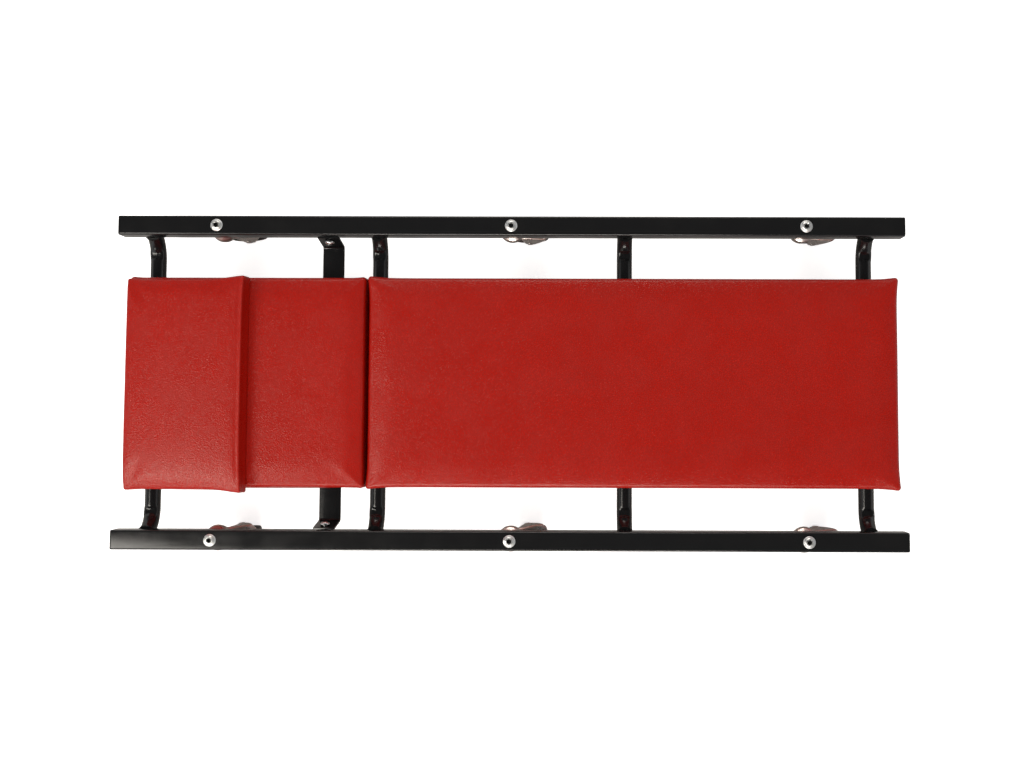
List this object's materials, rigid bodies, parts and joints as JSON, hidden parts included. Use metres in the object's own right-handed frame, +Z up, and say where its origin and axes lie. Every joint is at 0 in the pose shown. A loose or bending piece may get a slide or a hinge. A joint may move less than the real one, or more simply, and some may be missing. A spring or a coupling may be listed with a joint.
{
  "type": "mechanics creeper",
  "caption": "Low wheeled board for lying on under a car: steel side rails and bent cross tubes, padded red vinyl body board, tilting headrest with wedge pillow, swivel casters.",
  "frame": {"origin": "on the floor under the centre of the two rails", "axes": "+X towards the feet, +Y towards the left rail, +Z up"},
  "size_m": [1.016, 0.4377, 0.111],
  "materials": {
    "black_paint": "satin black powder coat on steel tube and plate",
    "black_plastic": "moulded black plastic, fine texture",
    "wheel_plastic": "hard black plastic tread and hub, light wear",
    "zinc": "bright zinc plated steel",
    "red_vinyl": "red upholstery vinyl with a fine leather grain, semi-gloss",
    "foam": "open polyurethane foam",
    "plywood": "raw plywood"
  },
  "bodies": {
    "frame": {"board_screw_foot_left": "zinc", "board_screw_foot_right": "zinc", "board_screw_shoulder_left": "zinc", "board_screw_shoulder_right": "zinc", "caster_left_foot_bolt": "zinc", "caster_left_foot_cup": "zinc", "caster_left_head_bolt": "zinc", "caster_left_head_cup": "zinc", "caster_left_middle_bolt": "zinc", "caster_left_middle_cup": "zinc", "caster_right_foot_bolt": "zinc", "caster_right_foot_cup": "zinc", "caster_right_head_bolt": "zinc", "caster_right_head_cup": "zinc", "caster_right_middle_bolt": "zinc", "caster_right_middle_cup": "zinc", "cross_tube_foot": "black_paint", "cross_tube_head": "black_paint", "cross_tube_hip": "black_paint", "cross_tube_shoulder": "black_paint", "end_plug_left_foot": "black_plastic", "end_plug_left_head": "black_plastic", "end_plug_right_foot": "black_plastic", "end_plug_right_head": "black_plastic", "main_board": "plywood", "main_cover": "red_vinyl", "main_foam": "foam", "pivot_boss_left": "black_paint", "pivot_boss_right": "black_paint", "pivot_screw_left": "zinc", "pivot_screw_right": "zinc", "rail_left": "black_paint", "rail_right": "black_paint"},
    "headrest": {"head_board": "plywood", "head_foam": "foam", "head_cover": "red_vinyl", "pillow_foam": "foam", "pillow_cover": "red_vinyl", "headrest_bracket": "black_paint", "bracket_screw_left": "zinc", "bracket_screw_right": "zinc"},
    "swivel_left_head": {"caster_left_head_fork": "zinc", "caster_left_head_axle": "zinc"},
    "wheel_left_head": {"caster_left_head_wheel": "wheel_plastic"},
    "swivel_left_middle": {"caster_left_middle_fork": "zinc", "caster_left_middle_axle": "zinc"},
    "wheel_left_middle": {"caster_left_middle_wheel": "wheel_plastic"},
    "swivel_left_foot": {"caster_left_foot_fork": "zinc", "caster_left_foot_axle": "zinc"},
    "wheel_left_foot": {"caster_left_foot_wheel": "wheel_plastic"},
    "swivel_right_head": {"caster_right_head_fork": "zinc", "caster_right_head_axle": "zinc"},
    "wheel_right_head": {"caster_right_head_wheel": "wheel_plastic"},
    "swivel_right_middle": {"caster_right_middle_fork": "zinc", "caster_right_middle_axle": "zinc"},
    "wheel_right_middle": {"caster_right_middle_wheel": "wheel_plastic"},
    "swivel_right_foot": {"caster_right_foot_fork": "zinc", "caster_right_foot_axle": "zinc"},
    "wheel_right_foot": {"caster_right_foot_wheel": "wheel_plastic"}
  },
  "joints": [
    {"name": "headrest_tilt", "type": "hinge", "parent": "frame", "child": "headrest", "pos_m": [-0.2365, 0, 0.0765], "axis": [0, 1, 0], "range_deg": [0, 25]},
    {"name": "swivel_left_head_turn", "type": "hinge", "parent": "frame", "child": "swivel_left_head", "pos_m": [-0.38, 0.2017, 0.0535], "axis": [0, 0, 1], "continuous": true},
    {"name": "wheel_left_head_spin", "type": "hinge", "parent": "swivel_left_head", "child": "wheel_left_head", "pos_m": [-0.35808, 0.20362, 0.025], "axis": [-0.0872, 0.9962, 0], "continuous": true},
    {"name": "swivel_left_middle_turn", "type": "hinge", "parent": "frame", "child": "swivel_left_middle", "pos_m": [0, 0.2017, 0.0535], "axis": [0, 0, 1], "continuous": true},
    {"name": "wheel_left_middle_spin", "type": "hinge", "parent": "swivel_left_middle", "child": "wheel_left_middle", "pos_m": [0.02199, 0.20235, 0.025], "axis": [-0.0297, 0.9996, 0], "continuous": true},
    {"name": "swivel_left_foot_turn", "type": "hinge", "parent": "frame", "child": "swivel_left_foot", "pos_m": [0.38, 0.2017, 0.0535], "axis": [0, 0, 1], "continuous": true},
    {"name": "wheel_left_foot_spin", "type": "hinge", "parent": "swivel_left_foot", "child": "wheel_left_foot", "pos_m": [0.402, 0.20212, 0.025], "axis": [-0.0192, 0.9998, 0], "continuous": true},
    {"name": "swivel_right_head_turn", "type": "hinge", "parent": "frame", "child": "swivel_right_head", "pos_m": [-0.38, -0.2017, 0.0535], "axis": [0, 0, 1], "continuous": true},
    {"name": "wheel_right_head_spin", "type": "hinge", "parent": "swivel_right_head", "child": "wheel_right_head", "pos_m": [-0.35807, -0.1999, 0.025], "axis": [-0.0819, 0.9966, 0], "continuous": true},
    {"name": "swivel_right_middle_turn", "type": "hinge", "parent": "frame", "child": "swivel_right_middle", "pos_m": [0, -0.2017, 0.0535], "axis": [0, 0, 1], "continuous": true},
    {"name": "wheel_right_middle_spin", "type": "hinge", "parent": "swivel_right_middle", "child": "wheel_right_middle", "pos_m": [0.02182, -0.19887, 0.025], "axis": [-0.1288, 0.9917, 0], "continuous": true},
    {"name": "swivel_right_foot_turn", "type": "hinge", "parent": "frame", "child": "swivel_right_foot", "pos_m": [0.38, -0.2017, 0.0535], "axis": [0, 0, 1], "continuous": true},
    {"name": "wheel_right_foot_spin", "type": "hinge", "parent": "swivel_right_foot", "child": "wheel_right_foot", "pos_m": [0.402, -0.20155, 0.025], "axis": [-0.007, 1, 0], "continuous": true}
  ]
}
